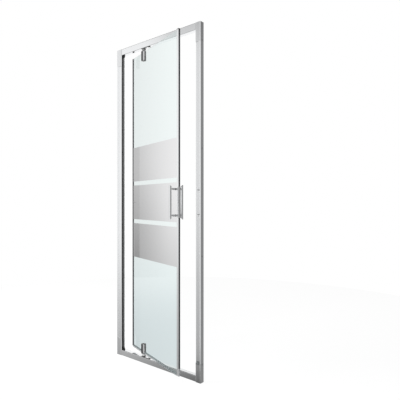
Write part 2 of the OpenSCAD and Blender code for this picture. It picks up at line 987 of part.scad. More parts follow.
module handle_bar() {
    near = bar_standoff - bar_w / 2;
    far = bar_standoff + bar_w / 2;
    intersection() {
        translate([-bar_w / 2, -bar_standoff, -bar_len / 2])
            linear_extrude(bar_len) rounded_plate(bar_w, bar_w, bar_r, bar_r);
        along_x(-bar_w, bar_w)
            polygon([[-far, -bar_len / 2], [-far, bar_len / 2],
                [-near, bar_len / 2 - bar_slant],
                [-near, bar_slant - bar_len / 2]]);
    }
}

module handle(foot) {
    near = bar_standoff - bar_w / 2;
    difference() {
        union() {
            handle_bar();
            for (side = [-1, 1])
                rod_y(0, -near - over, side * post_pitch / 2, post_r,
                    near + over - foot);
        }
        for (side = [-1, 1])
            rod_y(0, -stud_half - seat_gap, side * post_pitch / 2,
                stud_r + bolt_gap, stud_half);
    }
}

module handle_outer() {
    color([0.76, 0.77, 0.78])
    on_door() translate([handle_x, 0, door_mid])
        handle(glass_half + film_t + pad_washer_t);
}

module handle_inner() {
    color([0.76, 0.77, 0.78])
    on_door() translate([handle_x, 0, door_mid]) difference() {
        mirror([0, 1, 0]) handle(glass_half + pad_washer_t);
        for (side = [-1, 1])
            rod_x(-post_r - over, grub_y, side * post_pitch / 2,
                grub_r + bolt_gap, post_r + over - stud_r + seat_gap);
    }
}

module at_posts() {
    on_door() for (side = [-1, 1])
        translate([handle_x, 0, door_mid + side * post_pitch / 2])
            children();
}

module handle_studs() {
    color([0.60, 0.60, 0.61])
    at_posts() rod_y(0, -stud_half, 0, stud_r, 2 * stud_half);
}

module glass_sleeves() {
    color([0.90, 0.90, 0.88])
    at_posts() difference() {
        rod_y(0, -glass_half - film_t, 0, stud_hole_r - bolt_gap,
            glass_t + film_t);
        rod_y(0, -glass_half - film_t - over, 0, stud_r + bolt_gap,
            glass_t + film_t + 2 * over);
    }
}

module handle_washers() {
    color([0.15, 0.15, 0.16])
    at_posts() for (from = [-glass_half - film_t - pad_washer_t, glass_half])
        difference() {
            rod_y(0, from, 0, washer_w_r, pad_washer_t);
            rod_y(0, from - over, 0, stud_r + bolt_gap,
                pad_washer_t + 2 * over);
        }
}

module handle_grub_screws() {
    color([0.40, 0.40, 0.41])
    at_posts() rod_x(-stud_r - bolt_gap - grub_len, grub_y, 0,
        grub_r, grub_len);
}

module handle_saddle() {
    color([0.66, 0.67, 0.68])
    on_door() translate([0, 0, door_mid - saddle_h / 2])
        linear_extrude(saddle_h) difference() {
            translate([door_reach - saddle_leg, 0])
                rounded_plate(saddle_leg + saddle_t,
                    2 * (edge_half + saddle_t), fold_r, saddle_t);
            translate([door_reach - saddle_leg - over, -edge_half])
                square([saddle_leg + over, 2 * edge_half]);
        }
}

// Nodes

at_left() wall_channel();  // wall_channel_left
at_right() wall_channel();  // wall_channel_right
at_left() jamb(jamb_left_w, gap_groove_y);  // jamb_left
at_right() jamb(jamb_right_w, 0);  // jamb_right
at_top() rail(top_rail_h);  // top_rail
rail(bottom_rail_h);  // bottom_rail
at_top() at_left() corner_block(jamb_left_w, top_rail_h);  // corner_block_top_left
at_top() at_right() corner_block(jamb_right_w, top_rail_h);  // corner_block_top_right
at_left() corner_block(jamb_left_w, bottom_rail_h);  // corner_block_bottom_left
at_right() corner_block(jamb_right_w, bottom_rail_h);  // corner_block_bottom_right
corner_screws();
jamb_screws();
corner_block_screws();
gap_seal();
at_top() gusset(top_rail_h);  // gap_seal_block_top
gusset(bottom_rail_h);  // gap_seal_block_bottom
strike_magnet();
at_pivot() under_top_rail() socket();  // pivot_socket_top
at_pivot() on_threshold() socket();  // pivot_socket_bottom
at_pivot() under_top_rail() bush();  // pivot_bush_top
at_pivot() on_threshold() bush();  // pivot_bush_bottom
thrust_washer();
socket_screws();
glass_panel();
mirror_band(1);  // mirror_band_top
mirror_band(0);  // mirror_band_middle
mirror_band(-1);  // mirror_band_bottom
edge_profile();
edge_gasket();
door_magnet();
edge_cap_top();
edge_cap_bottom();
hinge_edge_seal();
drip_seal(barrel_r + 1, edge_start - seat_gap);  // drip_seal_long
drip_seal(glass_left + tail_seal_leg + seat_gap, -barrel_r - 1);  // drip_seal_short
on_door() under_top_rail() clamp_front(gap_top);  // clamp_front_top
on_door() under_top_rail() clamp_back(gap_top);  // clamp_back_top
on_door() on_threshold() clamp_front(gap_bottom);  // clamp_front_bottom
on_door() on_threshold() clamp_back(gap_bottom);  // clamp_back_bottom
clamp_gaskets();
clamp_screws();
on_door() under_top_rail() pivot_pin(gap_top, bush_top + top_play);  // pivot_pin_top
on_door() on_threshold()  // pivot_pin_bottom
        pivot_pin(gap_bottom, bush_top + washer_t + thrust_play);
handle_outer();
handle_inner();
handle_studs();
glass_sleeves();
handle_washers();
handle_grub_screws();
handle_saddle();
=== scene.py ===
# %% [markdown]
# # A pivot shower door
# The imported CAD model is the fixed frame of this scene: every solid is already in its place, in metres.
# This file adds what a construction model can't show: finishes, smooth turned and drawn metal, the
# gloss of glass and mirror film, a studio, and the camera. It could model the whole door again, but
# then two models would have to agree. So a solid keeps its shape unless the eye needs a finer one.

# %% Load the frame
import json
import math

import bmesh
import bpy
import numpy as np
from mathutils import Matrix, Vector
from mathutils.geometry import tessellate_polygon


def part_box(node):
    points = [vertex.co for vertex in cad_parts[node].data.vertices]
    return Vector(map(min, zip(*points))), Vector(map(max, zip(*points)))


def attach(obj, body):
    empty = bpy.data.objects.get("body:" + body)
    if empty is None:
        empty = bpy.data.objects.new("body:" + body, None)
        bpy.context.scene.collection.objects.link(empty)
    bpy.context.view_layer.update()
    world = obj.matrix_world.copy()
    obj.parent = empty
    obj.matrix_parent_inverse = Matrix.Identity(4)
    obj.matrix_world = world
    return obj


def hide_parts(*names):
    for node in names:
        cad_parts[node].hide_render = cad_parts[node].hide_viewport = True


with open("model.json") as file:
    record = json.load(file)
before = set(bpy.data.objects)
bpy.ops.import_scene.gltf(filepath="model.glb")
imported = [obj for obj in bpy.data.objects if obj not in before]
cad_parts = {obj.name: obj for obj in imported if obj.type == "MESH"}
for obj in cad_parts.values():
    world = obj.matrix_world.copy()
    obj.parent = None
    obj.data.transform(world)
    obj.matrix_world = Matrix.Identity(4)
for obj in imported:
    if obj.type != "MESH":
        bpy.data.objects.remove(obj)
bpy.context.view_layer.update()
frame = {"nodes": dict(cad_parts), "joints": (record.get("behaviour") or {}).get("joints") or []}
nodes = frame["nodes"]

# %% [markdown]
# The door stands ajar in the rest pose, so its pieces don't lie along X and Y. They could be built
# straight and then turned, but a finished piece has to sit unturned at the origin. So the door gets
# axes of its own, and points are placed with them. The hinge gives the pivot, and its lower limit is
# the closed door, so the angle that the door stands open is minus that limit.

# %% Door axes
pivot = frame["joints"][0]
pivot_x = pivot["pos_m"][0]
door_open = -math.radians(pivot["range_deg"][0])
along_door = np.array([math.cos(door_open), -math.sin(door_open), 0.0])
into_shower = np.array([math.sin(door_open), math.cos(door_open), 0.0])
print("pivot at x =", pivot_x, "and the door stands", round(math.degrees(door_open), 1), "degrees open")

# %% [markdown]
# A finish is a tree of nodes. It could be wired by hand, but shader maths reads best as maths. So a
# small class wraps a node's output socket, and its operators add the Math nodes: `1 - mask` or
# `0.2 + 0.1 * noise` builds the nodes that it names. A second class makes every other node.


# %% Sockets as numbers
class Value:
    """A number that varies over a surface: an output socket and the tree that it is in."""

    def __init__(self, tree, socket):
        self.tree = tree
        self.socket = socket

    def _math(self, operation, first, second=0.0):
        node = self.tree.nodes.new("ShaderNodeMath")
        node.operation = operation
        for place, item in zip(node.inputs, (first, second)):
            if isinstance(item, Value):
                self.tree.links.new(item.socket, place)
            else:
                place.default_value = item
        return Value(self.tree, node.outputs[0])

    def __add__(self, other):
        return self._math("ADD", self, other)

    def __radd__(self, other):
        return self._math("ADD", other, self)

    def __sub__(self, other):
        return self._math("SUBTRACT", self, other)

    def __rsub__(self, other):
        return self._math("SUBTRACT", other, self)

    def __mul__(self, other):
        return self._math("MULTIPLY", self, other)

    def __rmul__(self, other):
        return self._math("MULTIPLY", other, self)

    def __truediv__(self, other):
        return self._math("DIVIDE", self, other)

    def __rtruediv__(self, other):
        return self._math("DIVIDE", other, self)

    def power(self, exponent):
        """This number to the power of the exponent; 0.5 gives the root."""
        return self._math("POWER", self, exponent)

    def least(self, other):
        """The smaller of the two."""
        return self._math("MINIMUM", self, other)

    def most(self, other):
        """The larger of the two."""
        return self._math("MAXIMUM", self, other)

    def arctan(self, other):
        """Angle of the direction (other, self), in radians from -pi to pi."""
        return self._math("ARCTAN2", self, other)

    def ramp(self, low, high):
        """0 below low, 1 above high, and a straight line between: (self - low) / (high - low)."""
        share = (self - low) / (high - low)
        return share.most(0.0).least(1.0)

    def smooth(self, low, high):
        """As ramp, with a soft start and a soft end: t * t * (3 - 2 t)."""
        t = self.ramp(low, high)
        return t * t * (3.0 - 2.0 * t)


class Finish:
    """A node tree that is being filled. node() makes any node in one line."""

    FADE = 0.01  # metres over which the length of a ray fades an effect in or out

    def __init__(self, tree):
        self.tree = tree
        tree.nodes.clear()

    def node(self, kind, settings=None, **inputs):
        """Adds a node of that kind. Settings are set first, then each input by its socket's name."""
        made = self.tree.nodes.new("ShaderNode" + kind)
        for name, setting in (settings or {}).items():
            if name == "stops":
                ramp = made.color_ramp
                while len(ramp.elements) < len(setting):
                    ramp.elements.new(1.0)
                for stop, (place, colour) in zip(ramp.elements, setting):
                    stop.position = place
                    stop.color = colour
            else:
                setattr(made, name, setting)
        for name, item in inputs.items():
            self.feed(made, name.replace("_", " "), item)
        return made

    def feed(self, node, name, item):
        """Links an output, or sets a number or colour, on the input with that name."""
        place = node.inputs[int(name)] if name.isdigit() else node.inputs[name]
        if isinstance(item, Value):
            self.tree.links.new(item.socket, place)
        elif isinstance(item, bpy.types.NodeSocket):
            self.tree.links.new(item, place)
        else:
            place.default_value = item

    def value(self, node, name):
        """The output with that name, as a number to reckon with."""
        return Value(self.tree, node.outputs[name])

    def place(self):
        """The point on the object, in metres, as three values."""
        coordinates = self.node("TexCoord")
        split = self.node("SeparateXYZ", Vector=coordinates.outputs["Object"])
        return [self.value(split, axis) for axis in "XYZ"]

    def stretched(self, x, y, z):
        """Object coordinates, multiplied by one factor for each axis."""
        coordinates = self.node("TexCoord")
        mapping = self.node("Mapping", Vector=coordinates.outputs["Object"], Scale=(x, y, z))
        return mapping.outputs["Vector"]

    def noise(self, coordinates, scale, detail=2.0):
        """Cloudy noise from 0 to 1, with about scale clouds to each unit of the coordinates."""
        made = self.node("TexNoise", Vector=coordinates, Scale=scale, Detail=detail)
        return self.value(made, "Fac")

    def bump(self, height, depth):
        """A normal, tilted as if height, from 0 to 1, lifted the surface by up to depth metres."""
        made = self.node("Bump", Height=height, Distance=depth)
        return made.outputs["Normal"]

    def mix(self, factor, first, second):
        """A colour between two colours."""
        made = self.node("Mix", {"data_type": "RGBA"})
        self.feed(made, "0", factor)
        self.feed(made, "6", first)
        self.feed(made, "7", second)
        return made.outputs[2]

    def blend(self, factor, first, second):
        """A Mix Shader between two shader nodes."""
        made = self.node("MixShader")
        self.feed(made, "0", factor)
        self.feed(made, "1", first.outputs[0])
        self.feed(made, "2", second.outputs[0])
        return made

    def mirrored(self, further_than=0.0):
        """1 for a ray that a mirroring surface sent here from further off, 0 for one that glass bent.

        A ray that glass bends counts as glossy too, so the formula is glossy * (1 - transmission).
        """
        ray = self.node("LightPath")
        glossy = self.value(ray, "Is Glossy Ray") * (1.0 - self.value(ray, "Is Transmission Ray"))
        if further_than == 0.0:
            return glossy
        return glossy * self.value(ray, "Ray Length").ramp(further_than, further_than + self.FADE)

    def shading(self, further_than, up_to):
        """1 for a ray to a light that passes here between those two distances, and 0 for others."""
        ray = self.node("LightPath")
        length = self.value(ray, "Ray Length")
        begun = length.ramp(further_than, further_than + self.FADE)
        ended = length.ramp(up_to, up_to + self.FADE)
        return (begun - ended) * self.value(ray, "Is Shadow Ray")

    def end(self, shader, kind="OutputMaterial"):
        """Sends the shader to the output, which finishes the tree."""
        out = self.node(kind)
        self.tree.links.new(shader.outputs[0], out.inputs["Surface"])


def new_finish(name):
    """A new material, and the tree that its nodes go in."""
    material = bpy.data.materials.new(name)
    material.use_nodes = True
    return material, Finish(material.node_tree)


def grey(level):
    """A grey with a trace of blue, as metal has."""
    return (level, level * 1.01, level * 1.02, 1.0)


print("sockets can be added, multiplied and ramped")

# %% [markdown]
# The frame's two uprights mirror the studio, and the side of the left one that holds the gap strip
# gets painted shade, darker still round its edges. It could be a piece of its own, but on the real door
# it's the same metal. So the finish finds that side by its place, and mixes a painted dark grey in there.


# %% Painted shade on the side of the hinge jamb
JAMB_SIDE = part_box("jamb_left")[1][0]
BLOCK_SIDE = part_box("gap_seal_block_bottom")[0][0]
# greys of the painted shade on the jamb's side, and darker round its edges
PAINTED_SHADE_FACE = 0.12
PAINTED_SHADE_EDGE = 0.08
SIDE_STARTS = (-0.0024, -0.0016)
SIDE_ENDS = (0.0030, 0.0032)
GROOVE_FRONT = (-0.0085, -0.0070)
GROOVE_BACK = (0.0060, 0.0070)


def side_with_painted_shade(f, colour, side):
    """Colour of a profile with painted shade on its face at x = side, darker round both of its edges.

    One mask is a ramp up before the side times a ramp down behind it. Another is 1 in front of the
    groove and behind it, and picks the darker grey of the edges.
    """
    x, y, _ = f.place()
    before, behind = ([side + offset for offset in pair] for pair in (SIDE_STARTS, SIDE_ENDS))
    here = x.ramp(*before) * (1.0 - x.ramp(*behind))
    edges = (1.0 - y.ramp(*GROOVE_FRONT)).most(y.ramp(*GROOVE_BACK))
    # painted shade: a dark grey on the side, and a darker one on its edges
    painted_shade = f.mix(edges, grey(PAINTED_SHADE_FACE), grey(PAINTED_SHADE_EDGE))
    return f.mix(here, (*colour, 1.0), painted_shade)


# the side at this x gets painted shade
print("the hinge jamb's dull side lies at x =", round(JAMB_SIDE, 4))

# %% [markdown]
# Polished aluminium profiles are drawn through a die and then brightened. What is left of the drawing
# are faint streaks along each profile, which show as a slight change of gloss. They could come from a
# picture of brushed metal, but noise that is stretched along the profile does it at every scale.
#
# In the film and in the polished jamb, an upright shows as plain brightness, not as a second upright
# with its own dark and bright lines. So mirrored rays find a painted glow on it, a painted reflection,
# with painted shade that makes it weaker at its foot. Only what touches the profile mirrors it as it is.


# %% Drawn metal
STREAKS = 220.0
MIRROR_NEAR = 0.03
# the painted glow has painted shade at the foot, and is full from the upper height on
GLOW_HEIGHTS = (0.1, 1.3)
GLOW_AT_FOOT = 0.30


def drawn_metal(name, colour, rough, streak_axis, streak_depth, in_mirrors=0.0, painted_shade_at=None):
    """Streaks along one axis: roughness = rough + 0.05 * (streaks - 0.5) + 0.04 * (cloud - 0.5).

    in_mirrors is the strength of the painted glow that mirrored rays find, and the last argument the x
    of a side with painted shade.
    """
    material, f = new_finish(name)
    factors = [STREAKS, STREAKS, STREAKS]
    factors["XYZ".index(streak_axis)] = 1.0
    streaks = f.noise(f.stretched(*factors), 1.0, 1.0)
    cloud = f.noise(f.stretched(3.0, 3.0, 3.0), 2.0)
    shader = f.node(
        "BsdfPrincipled",
        Base_Color=(*colour, 1.0) if painted_shade_at is None else side_with_painted_shade(f, colour, painted_shade_at),
        Metallic=1.0,
        Roughness=rough + 0.05 * (streaks - 0.5) + 0.04 * (cloud - 0.5),
        Normal=f.bump(streaks, streak_depth),
    )
    # painted reflection: a glow that mirrored rays find, with painted shade towards the foot
    if in_mirrors > 0.0:
        _, _, z = f.place()
        foot = (GLOW_AT_FOOT, GLOW_AT_FOOT, GLOW_AT_FOOT, 1.0)
        glow = f.node(
            "BsdfPrincipled",
            Base_Color=(0.0, 0.0, 0.0, 1.0),
            Specular_IOR_Level=0.0,
            Emission_Color=f.mix(z.smooth(*GLOW_HEIGHTS), foot, (1.0, 1.0, 1.0, 1.0)),
            Emission_Strength=in_mirrors,
        )
        shader = f.blend(f.mirrored(MIRROR_NEAR), shader, glow)
    f.end(shader)
    return material


ALUMINIUM = (0.90, 0.91, 0.92)
STEEL = (0.62, 0.62, 0.63)
profile_upright = drawn_metal("profile_upright", ALUMINIUM, 0.12, "Z", 0.000001, in_mirrors=0.60)
# the hinge jamb's side gets painted shade
profile_hinge_side = drawn_metal(
    "profile_hinge_side", ALUMINIUM, 0.12, "Z", 0.000001, in_mirrors=0.60, painted_shade_at=JAMB_SIDE
)
profile_level = drawn_metal("profile_level", ALUMINIUM, 0.07, "X", 0.000001)
satin_metal = drawn_metal("satin_metal", (0.72, 0.73, 0.74), 0.34, "Z", 0.00001)
brushed_steel = drawn_metal("brushed_steel", STEEL, 0.30, "X", 0.00001)
print("drawn metals, with", STREAKS, "streaks to a metre")

# %% [markdown]
# Corner blocks, barrels and handles are castings that were polished and chromed. A casting is never as
# straight as a drawn profile, so its mirror gloss gets a very slightly wavy skin. The waves could be
# modelled, but at a few hundredths of a millimetre a bump does the same for nothing.
#
# The photo's polished jamb and film mirror the studio, but no handle and no stud. So a handle's finish
# lets mirrored rays through when they come from further off than HANDLE_NEAR. Light that goes past
# it to a mirror up to FLOOR_REACH away gets through too. The floor is further, and keeps its shadow.


# %% Chromed castings
HANDLE_NEAR = 0.05
FLOOR_REACH = 0.60


def cast_skin(f):
    """Noise of a casting's slightly wavy skin, with a wave every 2 cm or so."""
    return f.noise(f.stretched(60.0, 60.0, 60.0), 1.0)


def chromed_metal(name, colour, rough, near_only=False, painted_shade_at=None):
    """A mirror gloss over a wavy skin: roughness = rough + 0.03 * (waves - 0.5)."""
    material, f = new_finish(name)
    waves = cast_skin(f)
    shader = f.node(
        "BsdfPrincipled",
        Base_Color=(*colour, 1.0) if painted_shade_at is None else side_with_painted_shade(f, colour, painted_shade_at),
        Metallic=1.0,
        Roughness=rough + 0.03 * (waves - 0.5),
        Normal=f.bump(waves, 0.00002),
    )
    if near_only:
        passed = f.mirrored(HANDLE_NEAR).most(f.shading(HANDLE_NEAR, FLOOR_REACH))
        shader = f.blend(passed, shader, f.node("BsdfTransparent"))
    f.end(shader)
    return material


CHROME = (0.88, 0.89, 0.90)
BLOCK_CHROME = (0.80, 0.81, 0.82)
bright_chrome = chromed_metal("bright_chrome", CHROME, 0.10)
handle_chrome = chromed_metal("handle_chrome", CHROME, 0.10, near_only=True)
block_chrome = chromed_metal("block_chrome", BLOCK_CHROME, 0.12)
# the corner blocks on the hinge side get the same painted shade
block_hinge_side = chromed_metal("block_hinge_side", BLOCK_CHROME, 0.12, painted_shade_at=BLOCK_SIDE)
stud_steel = chromed_metal("stud_steel", STEEL, 0.30, near_only=True)
print("metals so far:", [m.name for m in bpy.data.materials])

# %% [markdown]
# The pivot barrels are chromed castings too, but with darker flanks and one brighter line than the
# open room explains. More walls in the room could do that, but they'd show in every other piece. So
# the finish holds them as painted shade and a painted highlight, a colour that goes with the compass
# angle round the barrel's axis: the angle is an arctangent of the distances along and across the door.
# The round nose next to the rail is blasted, gets none of the painted shade, and stays pale.


# %% Barrel finish
rail_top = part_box("bottom_rail")[1][2]
rail_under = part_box("top_rail")[0][2]
GAP_LOW = 0.026
GAP_HIGH = 0.022
NOSE_SHORT = 0.001
NOSE_LOW = rail_top + GAP_LOW - NOSE_SHORT
NOSE_HIGH = rail_under - GAP_HIGH + NOSE_SHORT
NOSE_FADES = (-0.001, 0.002)
# painted shade and a painted highlight round the barrel, by turn: 0 looks from the axis towards the
# tail, 0.25 out of the shower, and 0.5 towards the closing edge
BARREL_SHADE = [
    (0.00, grey(0.22)),
    (0.12, grey(0.07)),
    (0.27, grey(0.05)),
    (0.30, grey(0.13)),
    (0.37, grey(0.17)),
    (0.40, grey(0.68)),
    (0.44, grey(0.62)),
    (0.46, grey(0.16)),
    (0.50, grey(0.05)),
    (0.62, grey(0.06)),
    (1.00, grey(0.22)),
]


def barrel_metal(name, rough):
    """Chrome with painted shade and a painted highlight from BARREL_SHADE at arctan(across / along) / 2 pi
    + 0.5.
    """
    material, f = new_finish(name)
    x, y, z = f.place()
    along = (x - pivot_x) * float(along_door[0]) + y * float(along_door[1])
    across = (x - pivot_x) * float(into_shower[0]) + y * float(into_shower[1])
    turn = across.arctan(along) / math.tau + 0.5
    nose = (NOSE_LOW - z).ramp(*NOSE_FADES).most((z - NOSE_HIGH).ramp(*NOSE_FADES))
    # painted shade and a painted highlight, by the angle round the axis
    shade = f.node("ValToRGB", {"stops": BARREL_SHADE}, Fac=turn)
    waves = cast_skin(f)
    shader = f.node(
        "BsdfPrincipled",
        Base_Color=f.mix(nose, shade.outputs["Color"], grey(0.85)),
        Metallic=1.0,
        Roughness=rough + 0.03 * (waves - 0.5) + 0.30 * nose,
        Normal=f.bump(waves, 0.00002),
    )
    f.end(shader)
    return material


barrel_chrome = barrel_metal("barrel_chrome", 0.12)
print("barrel finish with", len(BARREL_SHADE), "stops")

# %% [markdown]
# The socket plates under and over the barrels are polished on their flat face only, and their edges
# and the boss are a dark grey. Two materials on one mesh would need its faces sorted, so the height
# tells the two apart: a point belongs to the face within a quarter of a millimetre of the face's height.


# %% Socket finish
SOCKET_T = 0.004
ON_FACE = (0.00020, 0.00028)


def socket_metal(name, face, edge):
    """Two greys, parted by the height's distance from the nearer face: the root of its square."""
    material, f = new_finish(name)
    _, _, z = f.place()
    from_low = (z - rail_top - SOCKET_T) * (z - rail_top - SOCKET_T)
    from_high = (z - rail_under + SOCKET_T) * (z - rail_under + SOCKET_T)
    away = from_low.least(from_high).power(0.5)
    on_face = 1.0 - away.ramp(*ON_FACE)
    grind = f.noise(f.stretched(900.0, 60.0, 60.0), 1.0)
    shader = f.node(
        "BsdfPrincipled",
        Base_Color=f.mix(on_face, grey(edge), grey(face)),
        Metallic=1.0,
        Roughness=0.30 - 0.20 * on_face + 0.05 * (grind - 0.5),
        Normal=f.bump(grind, 0.000004),
    )
    f.end(shader)
    return material


socket_steel = socket_metal("socket_steel", 0.90, 0.12)
print("the pivots stand between", round(rail_top, 4), "and", round(rail_under, 4), "m")

# %% [markdown]
# Caps, bushes, pads and seals are moulded plastics and rubbers, which differ in gloss and in grain.
# One flat colour would look like paint, so a fine noise breaks their colour and gloss, and lifts the
# surface by a few hundredths of a millimetre. The black wedges at the ends of the gap strip have
# hardly any gloss. The washers and sleeves of the handle stay out of far mirrors, as the handle does.


# %% Plastics and rubbers
def plain_plastic(name, colour, rough, grain, depth, see_through=0.0, gloss=0.5, near_only=False):
    """A colour that a noise darkens by up to 14 %: roughness = rough + 0.12 * (noise - 0.5)."""
    material, f = new_finish(name)
    speck = f.noise(f.stretched(grain, grain, grain), 1.0, 3.0)
    dark = tuple(0.86 * c for c in colour)
    shader = f.node(
        "BsdfPrincipled",
        Base_Color=f.mix(speck, (*dark, 1.0), (*colour, 1.0)),
        Roughness=rough + 0.12 * (speck - 0.5),
        Normal=f.bump(speck, depth),
        Alpha=1.0 - see_through,
        Specular_IOR_Level=gloss,
    )
    if near_only:
        shader = f.blend(f.mirrored(HANDLE_NEAR), shader, f.node("BsdfTransparent"))
    f.end(shader)
    return material


IVORY = (0.80, 0.80, 0.78)
RUBBER = (0.06, 0.06, 0.065)
black_plastic = plain_plastic("black_plastic", (0.012, 0.012, 0.013), 0.45, 900.0, 0.00002)
matt_black = plain_plastic("matt_black", (0.003, 0.003, 0.003), 0.80, 900.0, 0.00002, gloss=0.05)
white_plastic = plain_plastic("white_plastic", IVORY, 0.40, 900.0, 0.00002)
grey_plastic = plain_plastic("grey_plastic", (0.40, 0.41, 0.42), 0.38, 900.0, 0.00002)
magnet_strip = plain_plastic("magnet_strip", (0.045, 0.048, 0.052), 0.35, 700.0, 0.00003)
dark_rubber = plain_plastic("dark_rubber", RUBBER, 0.55, 1200.0, 0.00004)
washer_rubber = plain_plastic("washer_rubber", RUBBER, 0.55, 1200.0, 0.00004, near_only=True)
sleeve_plastic = plain_plastic("sleeve_plastic", IVORY, 0.40, 900.0, 0.00002, near_only=True)
seal_plastic = plain_plastic("seal_plastic", (0.28, 0.31, 0.32), 0.30, 400.0, 0.00002, see_through=0.55)
print("plastics and rubbers made")

# %% [markdown]
# The strip that closes the gap at the hinge side is pressed from two plastics at once: a hard dark
# leg in the jamb, and a clear soft blade up to the door's tail. It's one piece, so one finish has both
# and tells them apart by their distance from the jamb. Mirrors leave the strip out, because the photo
# shows no dark line of it in the film.


# %% Gap strip
DARK_LEG = 0.018
LEG_FADES = 0.006
LEG_END = 0.0005


def gap_strip_plastic(name):
    """Colour and see-through share by a mask: 1 on the dark leg, and 0 on the blade.

    The leg is cut back to make room for the corner blocks, so the mask is also 0 at both ends.
    """
    material, f = new_finish(name)
    low_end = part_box("gap_seal_block_bottom")[1][2]
    high_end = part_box("gap_seal_block_top")[0][2]
    x, _, z = f.place()
    leg = 1.0 - x.ramp(JAMB_SIDE + DARK_LEG, JAMB_SIDE + DARK_LEG + LEG_FADES)
    leg = leg * z.ramp(low_end - LEG_END, low_end) * (1.0 - z.ramp(high_end, high_end + LEG_END))
    shader = f.node(
        "BsdfPrincipled",
        Base_Color=f.mix(leg, (0.86, 0.90, 0.90, 1.0), (0.05, 0.05, 0.05, 1.0)),
        Roughness=0.30,
        Alpha=0.02 + 0.83 * leg,
    )
    f.end(f.blend(f.mirrored(), shader, f.node("BsdfTransparent")))
    return material


gap_strip = gap_strip_plastic("gap_strip_plastic")
print("the smoked leg is", round(DARK_LEG * 1000), "mm wide")

# %% [markdown]
# Clear glass bends light by its index and takes a little red out of it, which is why an edge looks
# green. A glass shader alone would do, but light to a lamp would need thousands of samples to find its
# way through a real pane. So shadow rays and rays from diffuse surfaces pass straight on and are only
# tinted, and rays from mirroring surfaces don't meet the pane at all.
#
# The three bands on the outside face are a mirror film, no thicker than paper. It gets a metal's
# finish with a slow cloud in its gloss, and stays out of far mirrors as the handle does.


# %% Glass and mirror film
def clear_glass(name, tint):
    """A blend by the kind of ray: bent by index 1.5, tinted only, or passed on untouched."""
    material, f = new_finish(name)
    pane = f.node(
        "BsdfPrincipled",
        Base_Color=(*tint, 1.0),
        Roughness=0.0,
        IOR=1.5,
        Transmission_Weight=1.0,
    )
    tinted = f.node("BsdfTransparent", Color=(*tint, 1.0))
    ray = f.node("LightPath")
    straight = f.value(ray, "Is Shadow Ray") + f.value(ray, "Is Diffuse Ray")
    shader = f.blend(straight.least(1.0), pane, tinted)
    f.end(f.blend(f.mirrored(), shader, f.node("BsdfTransparent")))
    return material


def mirror_film(name):
    """A mirror: roughness = 0.08 + 0.03 * (cloud - 0.5)."""
    material, f = new_finish(name)
    cloud = f.noise(f.stretched(9.0, 9.0, 9.0), 1.0)
    shader = f.node(
        "BsdfPrincipled",
        Base_Color=(0.88, 0.88, 0.885, 1.0),
        Metallic=1.0,
        Roughness=0.08 + 0.03 * (cloud - 0.5),
    )
    passed = f.mirrored(MIRROR_NEAR).most(f.shading(MIRROR_NEAR, FLOOR_REACH))
    f.end(f.blend(passed, shader, f.node("BsdfTransparent")))
    return material


glass = clear_glass("door_glass", (0.90, 0.965, 0.958))
mirror = mirror_film("mirror_film")
print("glass and mirror made")

# %% [markdown]
# Each CAD node keeps its shape and gets its finish. That could be a line for each of the fifty nodes,
# but a table that names each finish once, with its group of nodes, shows what is made of what.

# %% Give each solid its finish
dress = {
    profile_upright: "wall_channel_left wall_channel_right jamb_right edge_profile",
    profile_hinge_side: "jamb_left",
    profile_level: "top_rail bottom_rail",
    block_chrome: "corner_block_top_right corner_block_bottom_right",
    block_hinge_side: "corner_block_top_left corner_block_bottom_left",
    barrel_chrome: "clamp_front_top clamp_back_top clamp_front_bottom clamp_back_bottom",
    bright_chrome: "pivot_pin_top pivot_pin_bottom",
    handle_chrome: "handle_outer handle_inner",
    satin_metal: "handle_saddle",
    socket_steel: "pivot_socket_top pivot_socket_bottom",
    brushed_steel: "socket_screws corner_screws jamb_screws corner_block_screws clamp_screws",
    stud_steel: "handle_studs handle_grub_screws",
    black_plastic: "edge_cap_top",
    matt_black: "gap_seal_block_top gap_seal_block_bottom",
    white_plastic: "pivot_bush_top pivot_bush_bottom thrust_washer",
    sleeve_plastic: "glass_sleeves",
    grey_plastic: "edge_cap_bottom",
    magnet_strip: "strike_magnet door_magnet",
    dark_rubber: "edge_gasket clamp_gaskets hinge_edge_seal",
    washer_rubber: "handle_washers",
    gap_strip: "gap_seal",
    seal_plastic: "drip_seal_long drip_seal_short",
    glass: "glass_panel",
    mirror: "mirror_band_top mirror_band_middle mirror_band_bottom",
}
for finish, group in dress.items():
    for node in group.split():
        nodes[node].data.materials.clear()
        nodes[node].data.materials.append(finish)
undressed = set(nodes) - set(" ".join(dress.values()).split())
print("solids without a finish:", sorted(undressed))

# %% [markdown]
# ## Finer pieces
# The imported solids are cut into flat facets, which a polished surface shows at once. A Subdivision
# modifier would round them, but it would also round what has to stay sharp. So what the eye follows is
# worked out again as arrays. The workhorse is a loft: a stack of closed rings with the same number of
# points, joined by quads, with a lid on each end.


# %% Lofts and their meshes
def loft(rings):
    """Points and faces of a closed skin. rings is an array (rings, points, 3).

    Quad (i, j) joins points j and j + 1 of ring i with the same points of ring i + 1, and the first
    and the last ring are closed by one face each.
    """
    ring_count, side_count = rings.shape[:2]
    i, j = np.meshgrid(np.arange(ring_count - 1), np.arange(side_count), indexing="ij")
    k = (j + 1) % side_count
    quads = np.stack(
        [i * side_count + j, i * side_count + k, (i + 1) * side_count + k, (i + 1) * side_count + j],
        axis=-1,
    )
    first = list(range(side_count))[::-1]
    last = list(range((ring_count - 1) * side_count, ring_count * side_count))
    return rings.reshape(-1, 3), quads.reshape(-1, 4).tolist() + [first, last]


